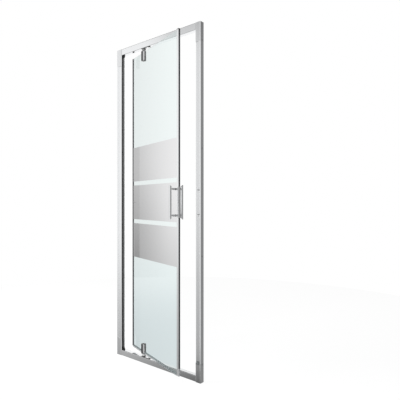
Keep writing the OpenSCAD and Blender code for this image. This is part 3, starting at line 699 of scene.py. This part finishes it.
def add_piece(name, parts, finish, body, replaced, sharp=35.0):
    """One object from several skins, with outward normals and soft shading up to the sharp angle."""
    points, faces, start = [], [], 0
    for part_points, part_faces in parts:
        points.append(part_points)
        faces += [[start + corner for corner in face] for face in part_faces]
        start += len(part_points)
    mesh = bpy.data.meshes.new(name)
    mesh.from_pydata(np.concatenate(points).tolist(), [], faces)
    shell = bmesh.new()
    shell.from_mesh(mesh)
    bmesh.ops.recalc_face_normals(shell, faces=shell.faces)
    shell.to_mesh(mesh)
    shell.free()
    mesh.polygons.foreach_set("use_smooth", np.ones(len(mesh.polygons), dtype=bool))
    mesh.set_sharp_from_angle(angle=math.radians(sharp))
    mesh.materials.append(finish)
    piece = bpy.data.objects.new(name, mesh)
    bpy.context.scene.collection.objects.link(piece)
    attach(piece, body)
    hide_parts(*replaced)
    return piece


def on_door(points):
    """From the door's own frame, (along, across, up) from the pivot's axis, to the scene's."""
    return (
        np.array([pivot_x, 0.0, 0.0])
        + points[..., 0:1] * along_door
        + points[..., 1:2] * into_shower
        + points[..., 2:3] * np.array([0.0, 0.0, 1.0])
    )


print("lofts ready")

# %% [markdown]
# A pivot barrel is two half-shells that bolt together through the glass. It could be a cylinder that
# is cut in two, but its nose and rim are round, and the halves touch only below the glass. So each
# half is a loft: at every height its section is an arc, closed by a chord that lies on the rubber pad,
# and the radius follows a profile with a round nose and a small round rim. A lobe fills the notch.

# %% Barrels
BARREL_R = 0.017
NOSE_R = 0.008
RIM_R = 0.0015
BARREL_PAST = 0.009
BARREL_GRIP = 0.052
CHORD_ON_GLASS = 0.004
PARTING = 0.00012
BELOW_GLASS = 0.0003
LOBE_HALF = 0.0145
LOBE_HIGH = 0.0235
LOBE_LOW = -0.0008
LOBE_INTO_SHELL = 0.0005
QUARTER_POINTS = 13
ARC_POINTS = 61
CHORD_POINTS = 12


def barrel_profile(gap):
    """Heights, radii and chord distances: a quarter turn of the nose, the glass line, the rim.

    A quarter turn starts at z and r, and adds R * (1 - cos) upwards and R * sin outwards.
    """
    quarter = np.linspace(0.0, np.pi / 2, QUARTER_POINTS)
    nose_z = gap - BARREL_PAST + NOSE_R * (1.0 - np.cos(quarter))
    nose_r = BARREL_R - NOSE_R + NOSE_R * np.sin(quarter)
    top = gap + BARREL_GRIP - RIM_R
    rim_z = top + RIM_R * np.sin(quarter)
    rim_r = BARREL_R - RIM_R + RIM_R * np.cos(quarter)
    step = gap - BELOW_GLASS
    heights = np.concatenate([nose_z, [step, step], rim_z])
    radii = np.concatenate([nose_r, [BARREL_R, BARREL_R], rim_r])
    chords = np.where(np.arange(len(heights)) <= len(nose_z), PARTING, CHORD_ON_GLASS)
    return heights, radii, chords


def half_barrel(gap):
    """Rings of the outer half and of its lobe. A ring is an arc, and then back along its chord.

    The arc runs from pi + start to 2 pi - start, where start is arcsin(chord / radius), so that both
    of its ends lie on the chord.
    """
    heights, radii, chords = barrel_profile(gap)
    share = np.linspace(0.0, 1.0, ARC_POINTS)
    start = np.arcsin(chords / radii)[:, None]
    angle = np.pi + start + share * (np.pi - 2.0 * start)
    arc = np.stack([radii[:, None] * np.cos(angle), radii[:, None] * np.sin(angle)], axis=-1)
    back = np.linspace(0.0, 1.0, CHORD_POINTS)[1:-1, None]
    chord = arc[:, -1:, :] * (1.0 - back) + arc[:, :1, :] * back
    flat = np.concatenate([arc, chord], axis=1)
    up = np.broadcast_to(heights[:, None, None], flat.shape[:2] + (1,))
    shell = np.concatenate([flat, up], axis=-1)
    deep = -CHORD_ON_GLASS - LOBE_INTO_SHELL
    lobe = np.array([[-1, deep], [1, deep], [1, -PARTING], [-1, -PARTING]]) * [LOBE_HALF, 1.0]
    rings = [np.column_stack([lobe, np.full(4, gap + z)]) for z in (LOBE_LOW, LOBE_HIGH)]
    return shell, np.array(rings)


def barrel_half(name, node, gap, at_top, back):
    """Mirrors the outer low half: across becomes -across at the back, and up becomes -up on top."""
    parts = []
    for rings in half_barrel(gap):
        placed = rings.copy()
        if back:
            placed[..., 1] *= -1.0
        placed[..., 2] = rail_under - placed[..., 2] if at_top else rail_top + placed[..., 2]
        parts.append(loft(on_door(placed)))
    return add_piece(name, parts, barrel_chrome, "door", [node])


half = barrel_half("barrel_outer_low", "clamp_front_bottom", GAP_LOW, at_top=False, back=False)
barrel_half("barrel_outer_high", "clamp_front_top", GAP_HIGH, at_top=True, back=False)
barrel_half("barrel_inner_low", "clamp_back_bottom", GAP_LOW, at_top=False, back=True)
barrel_half("barrel_inner_high", "clamp_back_top", GAP_HIGH, at_top=True, back=True)
print("barrel halves with", len(half.data.polygons), "faces each")

# %% [markdown]
# A handle is a square bar with softened edges on two round posts. A cube with a Bevel modifier comes
# close, but its ends slope, and a bevel's width would change along a slope. So the bar is a loft up a
# rounded square: the height of an end depends on how far a point of the ring stands from the glass,
# and one more ring just inside takes the sharp edge off.

# %% Handles
PANE_LOW, PANE_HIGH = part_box("glass_panel")[0][2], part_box("glass_panel")[1][2]
HANDLE_ALONG = 0.3858
HANDLE_MIDDLE = (PANE_LOW + PANE_HIGH) / 2
BAR_SIDE = 0.011
BAR_EDGE = 0.0015
BAR_LENGTH = 0.186
BAR_SLANT = 0.009
BAR_STANDOFF = 0.036
POST_PITCH = 0.141
POST_R = 0.005
POST_CHAMFER = 0.0005
POST_INTO_BAR = 0.001
SOFT_EDGE = 0.0004
OUTER_FOOT = 0.0043
INNER_FOOT = 0.0040


def rounded_square(side, edge, steps=8):
    """Ring of a square with quarter circles: corner centre + edge * (cos a, sin a), four times."""
    turn = np.linspace(0.0, np.pi / 2, steps + 1)
    reach = side / 2 - edge
    corners = []
    for quarter, corner in enumerate([(1, 1), (-1, 1), (-1, -1), (1, -1)]):
        angle = turn + quarter * np.pi / 2
        arc = np.column_stack([np.cos(angle), np.sin(angle)])
        corners.append(reach * np.array(corner) + edge * arc)
    return np.concatenate(corners)


def circle(radius, steps=48):
    """Ring of radius * (cos a, sin a)."""
    angle = np.linspace(0.0, 2.0 * np.pi, steps, endpoint=False)
    return np.column_stack([radius * np.cos(angle), radius * np.sin(angle)])


def bar_skin(side):
    """side is -1 for the outer handle. End height = half length - slant * (far - distance) / bar side."""
    full = rounded_square(BAR_SIDE, BAR_EDGE)
    inner = rounded_square(BAR_SIDE - 2 * SOFT_EDGE, BAR_EDGE - SOFT_EDGE)
    rings = []
    for end, ring, back in [(-1, inner, 0.0), (-1, full, SOFT_EDGE), (1, full, SOFT_EDGE), (1, inner, 0.0)]:
        distance = BAR_STANDOFF + side * ring[:, 1]
        drop = BAR_SLANT * (BAR_STANDOFF + BAR_SIDE / 2 - distance) / BAR_SIDE
        height = HANDLE_MIDDLE + end * (BAR_LENGTH / 2 - drop - back)
        rings.append(np.column_stack([HANDLE_ALONG + ring[:, 0], side * BAR_STANDOFF + ring[:, 1], height]))
    return loft(on_door(np.array(rings)))


def post_skin(side, height, foot):
    """A turned post from the washer to just inside the bar, with a small chamfer at its foot."""
    in_bar = BAR_STANDOFF - BAR_SIDE / 2 + POST_INTO_BAR
    stations = [(foot, POST_R - POST_CHAMFER), (foot + POST_CHAMFER, POST_R), (in_bar, POST_R)]
    rings = []
    for distance, radius in stations:
        ring = circle(radius)
        across = np.full(len(ring), side * distance)
        rings.append(np.column_stack([HANDLE_ALONG + ring[:, 0], across, height + ring[:, 1]]))
    return loft(on_door(np.array(rings)))


def handle_piece(name, node, side, foot):
    """One bar and, half a pitch under and over its middle, two posts."""
    skins = [bar_skin(side)]
    for up_or_down in (-1, 1):
        skins.append(post_skin(side, HANDLE_MIDDLE + up_or_down * POST_PITCH / 2, foot))
    return add_piece(name, skins, handle_chrome, "door", [node])


handle = handle_piece("pull_outer", "handle_outer", -1, OUTER_FOOT)
handle_piece("pull_inner", "handle_inner", 1, INNER_FOOT)
print("handles with", len(handle.data.polygons), "faces each")

# %% [markdown]
# Toughened glass never has a raw edge: it's ground and its sharp corners are taken off, and that
# narrow bevel is what catches the light. The holes could be cut with Boolean modifiers, but those
# leave thin triangles that glass shows. So the pane is two flat faces with holes in them, which a
# tessellator divides into triangles, and strips of quads round every loop: bevel, edge, bevel.

# %% Glass pane
PANE_HALF = 0.003
PANE_BEVEL = 0.0005
PANE_TAIL = -0.155
PANE_CLOSING = 0.4116
NOTCH_HALF = 0.015
NOTCH_HIGH = 0.024
HOLE_R = 0.0045
HOLE_STEPS = 40
MID_HOLE_UP = 0.038


def inset(loop, depth):
    """Moves each corner by depth * (n1 + n2) / (1 + n1 . n2), with n1, n2 the edges' inward normals."""
    ahead = np.roll(loop, -1, axis=0) - loop
    ahead = ahead / np.linalg.norm(ahead, axis=1, keepdims=True)
    normal = np.column_stack([-ahead[:, 1], ahead[:, 0]])
    before = np.roll(normal, 1, axis=0)
    dot = np.sum(normal * before, axis=1, keepdims=True)
    return loop + depth * (normal + before) / (1.0 + dot)


outline = np.array(
    [
        (PANE_TAIL, PANE_LOW), (-NOTCH_HALF, PANE_LOW), (-NOTCH_HALF, PANE_LOW + NOTCH_HIGH),
        (NOTCH_HALF, PANE_LOW + NOTCH_HIGH), (NOTCH_HALF, PANE_LOW), (PANE_CLOSING, PANE_LOW),
        (PANE_CLOSING, PANE_HIGH), (NOTCH_HALF, PANE_HIGH), (NOTCH_HALF, PANE_HIGH - NOTCH_HIGH),
        (-NOTCH_HALF, PANE_HIGH - NOTCH_HIGH), (-NOTCH_HALF, PANE_HIGH), (PANE_TAIL, PANE_HIGH),
    ]
)  # fmt: skip
hole_spots = [
    (0.0, PANE_LOW + MID_HOLE_UP), (0.0, PANE_HIGH - MID_HOLE_UP),
    (HANDLE_ALONG, HANDLE_MIDDLE - POST_PITCH / 2), (HANDLE_ALONG, HANDLE_MIDDLE + POST_PITCH / 2),
]  # fmt: skip
loops = [outline] + [circle(HOLE_R, HOLE_STEPS)[::-1] + np.array(spot) for spot in hole_spots]


def pane_skin():
    """Four levels across the glass: the narrow loops, the loops twice, and the narrow loops again.

    Point n of a loop has the same place on every level, so a strip's quad is (n, n + 1) on one level
    and (n + 1, n) on the next. The triangles of one face, turned over, are those of the other.
    """
    narrow = [inset(loop, PANE_BEVEL) for loop in loops]
    edge = PANE_HALF - PANE_BEVEL
    levels = [(narrow, -PANE_HALF), (loops, -edge), (loops, edge), (narrow, PANE_HALF)]
    points = []
    for level_loops, across in levels:
        flat = np.concatenate(level_loops)
        points.append(np.column_stack([flat[:, 0], np.full(len(flat), across), flat[:, 1]]))
    level_size = len(points[0])
    faces, start = [], 0
    for loop in loops:
        here = start + np.arange(len(loop))
        there = start + (np.arange(len(loop)) + 1) % len(loop)
        for level in range(3):
            low, high = level * level_size, (level + 1) * level_size
            faces += np.column_stack([here + low, there + low, there + high, here + high]).tolist()
        start += len(loop)
    flat_loops = [np.column_stack([loop, np.zeros(len(loop))]).tolist() for loop in narrow]
    near = np.array(tessellate_polygon(flat_loops))
    far = 3 * level_size + near[:, [0, 2, 1]]
    faces += np.stack([near, far], axis=1).reshape(-1, 3).tolist()
    return on_door(np.concatenate(points)), faces


pane = add_piece("pane", [pane_skin()], glass, "door", ["glass_panel"], sharp=20.0)
print("pane with", len(pane.data.polygons), "faces")

# %% [markdown]
# ## The studio
# Polished metal shows what stands round it, so a studio is made of what the metal shall mirror. It
# could be built of white boards and black flags, but each would also light the object and cast its
# shade. So the world holds the room as a function of the direction alone. First come the direction's
# three numbers, its slope, and a wall: a soft-edged bright strip at a compass point.

# %% Directions of the room
world = bpy.data.worlds.new("studio")
bpy.context.scene.world = world
world.use_nodes = True
sky = Finish(world.node_tree)
direction = sky.node("TexCoord")
split = sky.node("SeparateXYZ", Vector=direction.outputs["Generated"])
east, north, up = (sky.value(split, axis) for axis in "XYZ")
level_length = (east * east + north * north).power(0.5).most(0.001)
slope = up / level_length


def facing(degrees):
    """Cosine between the level direction and a compass point, from -X at 0 towards -Y at 90."""
    turn = math.radians(degrees)
    return (east * -math.cos(turn) + north * -math.sin(turn)) / level_length


def wall(centre, half_width, fade):
    """1 within half_width degrees of the centre, and 0 from half_width + fade on."""
    inner = math.cos(math.radians(half_width))
    outer = math.cos(math.radians(half_width + fade))
    return facing(centre).smooth(outer, inner)


print("a wall is a mask of the compass point")

# %% [markdown]
# Each wall was set so that the face that mirrors it is as bright as in the photo. From the camera, the
# frame's front mirrors walls 38 and 50, the film mirrors the flank of wall 24 and the darker corner
# beside it, the door's closing edge mirrors wall -166, and the right sides of the uprights mirror
# wall -132. Of the last two, the low one shows under the top rail and the high one on the bottom
# rail. The others show in round pieces and from other sides. Walls are darker low down, and the
# ceiling takes light off on top.

# %% Walls of the room
foot = 0.05 + 0.95 * slope.smooth(-0.468, -0.335)
ceiling = 1.0 - 0.2 * slope.smooth(0.36, 0.44) - 0.7 * slope.smooth(0.44, 0.54)
corner = 1.0 - 0.2 * wall(4.0, 4.0, 6.0) * (1.0 - slope.smooth(-0.06, 0.12))
walls = [
    0.95 * wall(24.0, 5.0, 18.0) * (0.45 + 0.55 * slope.smooth(-0.40, 0.05)) * corner,
    0.90 * wall(38.0, 4.0, 10.0) * (0.46 + 0.54 * slope.smooth(-0.38, -0.05)) * foot,
    0.72 * wall(50.0, 4.0, 8.0) * (0.58 + 0.42 * slope.smooth(-0.35, 0.10)) * foot,
    0.90 * wall(85.0, 22.0, 8.0) * (0.85 + 0.15 * slope.smooth(-0.35, 0.10)) * foot,
    0.95 * wall(133.0, 32.0, 14.0) * (0.80 + 0.20 * slope.smooth(-0.35, 0.10)) * foot,
    0.28 * wall(-166.0, 8.0, 8.0),
    0.21 * wall(-132.0, 24.0, 8.0),
    0.80 * wall(-82.0, 12.0, 10.0),
    0.55 * wall(-10.0, 8.0, 7.0),
    0.95 * wall(-48.0, 14.0, 12.0) * (1.0 - slope.smooth(-0.25, -0.05)),
    0.95 * wall(-38.0, 18.0, 8.0) * slope.smooth(0.15, 0.30),
]
room = walls[0]
for other in walls[1:]:
    room = room.most(other)
room = room * ceiling + 0.05
print("the room has", len(walls), "walls")

# %% [markdown]
# The camera itself gets plain white, and so does what it sees through the glass, with a trace of the
# glass's colour low down and a slightly dimmer strip behind the pane. Light Path's kinds of ray choose
# between the white, the view through glass and the room.

# %% World
ray = sky.node("LightPath")
seen = sky.value(ray, "Is Camera Ray")
mirrored = sky.value(ray, "Glossy Depth").least(1.0)
sent = sky.value(ray, "Is Transmission Ray") * (1.0 - mirrored)
through = 0.98 - 0.07 * wall(-36.0, 4.0, 8.0)
strength = (1.0 - seen) * ((1.0 - sent) * room + sent * through) + seen
low = (0.0 - slope).smooth(0.05, 0.19) * sent
tone = sky.mix(low, (1.0, 1.0, 1.0, 1.0), (0.925, 0.955, 0.965, 1.0))
sky.end(sky.node("Background", Color=tone, Strength=strength), "OutputWorld")
print("world strength is a function of the direction")

# %% [markdown]
# The floor is a pale round plate. A plane would do, but its corners would show in views from above,
# so rings of quads surround a fan of triangles. It lies half a millimetre under the frame.

# %% Floor
FLOOR_RADIUS = 3.0
FLOOR_DROP = 0.0005
RING_COUNT = 12
SIDE_COUNT = 96
rings = np.linspace(0.0, FLOOR_RADIUS, RING_COUNT + 1)[1:]
turns = np.linspace(0.0, 2.0 * np.pi, SIDE_COUNT, endpoint=False)
ring_grid, turn_grid = np.meshgrid(rings, turns, indexing="ij")
flat = np.stack([ring_grid * np.cos(turn_grid), ring_grid * np.sin(turn_grid), 0.0 * ring_grid], axis=-1)
points = np.concatenate([[[0.0, 0.0, 0.0]], flat.reshape(-1, 3)])
points[:, 2] = -FLOOR_DROP
step = np.arange(SIDE_COUNT)
following = (step + 1) % SIDE_COUNT
fan = np.column_stack([0 * step, 1 + step, 1 + following])
near = 1 + SIDE_COUNT * np.arange(RING_COUNT - 1)[:, None]
far = near + SIDE_COUNT
quads = np.stack([near + step, far + step, far + following, near + following], axis=-1)
floor_mesh = bpy.data.meshes.new("floor")
floor_mesh.from_pydata(points.tolist(), [], fan.tolist() + quads.reshape(-1, 4).tolist())
floor = bpy.data.objects.new("floor", floor_mesh)
bpy.context.scene.collection.objects.link(floor)
print("floor with", len(floor_mesh.polygons), "faces and radius", FLOOR_RADIUS, "m")

# %% [markdown]
# The photo's ground is white, so the camera sees the floor white, less a soft shadow under the frame.
# More light on the floor would whiten it, but also burn out the object. So the floor glows, for the
# camera's own rays and, in the colour of the glass, for rays that came through it, with painted shade
# that makes it deeper near the door and paler further off. The photo's metal mirrors no floor, so
# mirrored rays pass through it.

# %% Floor finish
CAMERA_SHARE = 0.85
CAMERA_WHITE = (1.09, 1.09, 1.09, 1.0)
# the floor's glow through the glass, with painted shade near the door
GLASS_NEAR = (0.77, 0.81, 0.83, 1.0)
GLASS_FAR = (0.90, 0.925, 0.935, 1.0)
NEAR_RADIUS = 0.5
floor_finish, f = new_finish("pale_floor")
ground = f.node("BsdfDiffuse", Color=(0.78, 0.78, 0.78, 1.0))
ray = f.node("LightPath")
seen = f.value(ray, "Is Camera Ray")
sent = f.value(ray, "Is Transmission Ray")
x, y, _ = f.place()
away = (x * x + y * y).power(0.5).smooth(NEAR_RADIUS, FLOOR_RADIUS)
through_glass = f.mix(away, GLASS_NEAR, GLASS_FAR)
bright = f.node("Emission", Color=f.mix(sent, CAMERA_WHITE, through_glass), Strength=1.0)
lit = f.blend(seen * CAMERA_SHARE + sent, ground, bright)
f.end(f.blend(f.mirrored(), lit, f.node("BsdfTransparent")))
floor.data.materials.append(floor_finish)
print("floor finish made")

# %% [markdown]
# Small lamps cast hard shadows, and a studio avoids them with large soft boxes. Two large area lamps
# do the same: one high in front on the left, and one high on the right behind the camera. They give
# the plastics and the floor their level. The metals mirror the world alone, so the lamps are hidden
# from glossy rays.


# %% Lamps
def soft_lamp(name, spot, target, size, watts):
    """A square area lamp at spot, whose -Z axis is turned along target - spot."""
    light = bpy.data.lights.new(name, "AREA")
    light.shape = "SQUARE"
    light.size = size
    light.energy = watts
    lamp = bpy.data.objects.new(name, light)
    bpy.context.scene.collection.objects.link(lamp)
    aim = np.array(target) - np.array(spot)
    lamp.location = spot
    lamp.rotation_mode = "QUATERNION"
    lamp.rotation_quaternion = Vector(aim).to_track_quat("-Z", "Y")
    lamp.visible_camera = False
    lamp.visible_glossy = False


DOOR_MIDDLE = (0.0, 0.0, 0.9)
soft_lamp("left_lamp", (-2.4, -2.6, 3.0), DOOR_MIDDLE, 2.2, 130.0)
soft_lamp("high_lamp", (1.6, -2.8, 3.6), DOOR_MIDDLE, 2.2, 100.0)
print("two soft lamps")

# %% [markdown]
# The camera stands in front and to the right, level with the handle, as far away as the perspective
# of the photograph says: its place, its heading and its focal length were fitted to the corners of
# the frame and of the door. A tilted camera would make the uprights lean, and the photo's don't. So
# it looks level, and a small shift sets the horizon a little below the middle.

# %% Camera
IMAGE_SIDE = 400
FOCAL_PIXELS = 418.2
HORIZON_PIXEL = 202.3
SENSOR = 36.0
CAMERA_SPOT = (1.787, -1.741, 0.975)
LOOK_EAST, LOOK_NORTH = -0.6404, 0.768
camera_data = bpy.data.cameras.new("camera")
camera_data.sensor_width = SENSOR
camera_data.lens = FOCAL_PIXELS / IMAGE_SIDE * SENSOR
camera_data.shift_y = (HORIZON_PIXEL - IMAGE_SIDE / 2) / IMAGE_SIDE
camera = bpy.data.objects.new("camera", camera_data)
bpy.context.scene.collection.objects.link(camera)
camera.location = CAMERA_SPOT
heading = math.atan2(LOOK_NORTH, LOOK_EAST)
camera.rotation_euler = (math.pi / 2, 0.0, heading - math.pi / 2)
bpy.context.scene.camera = camera
bpy.context.scene.view_settings.view_transform = "Standard"
print("lens", round(camera_data.lens, 2), "mm")
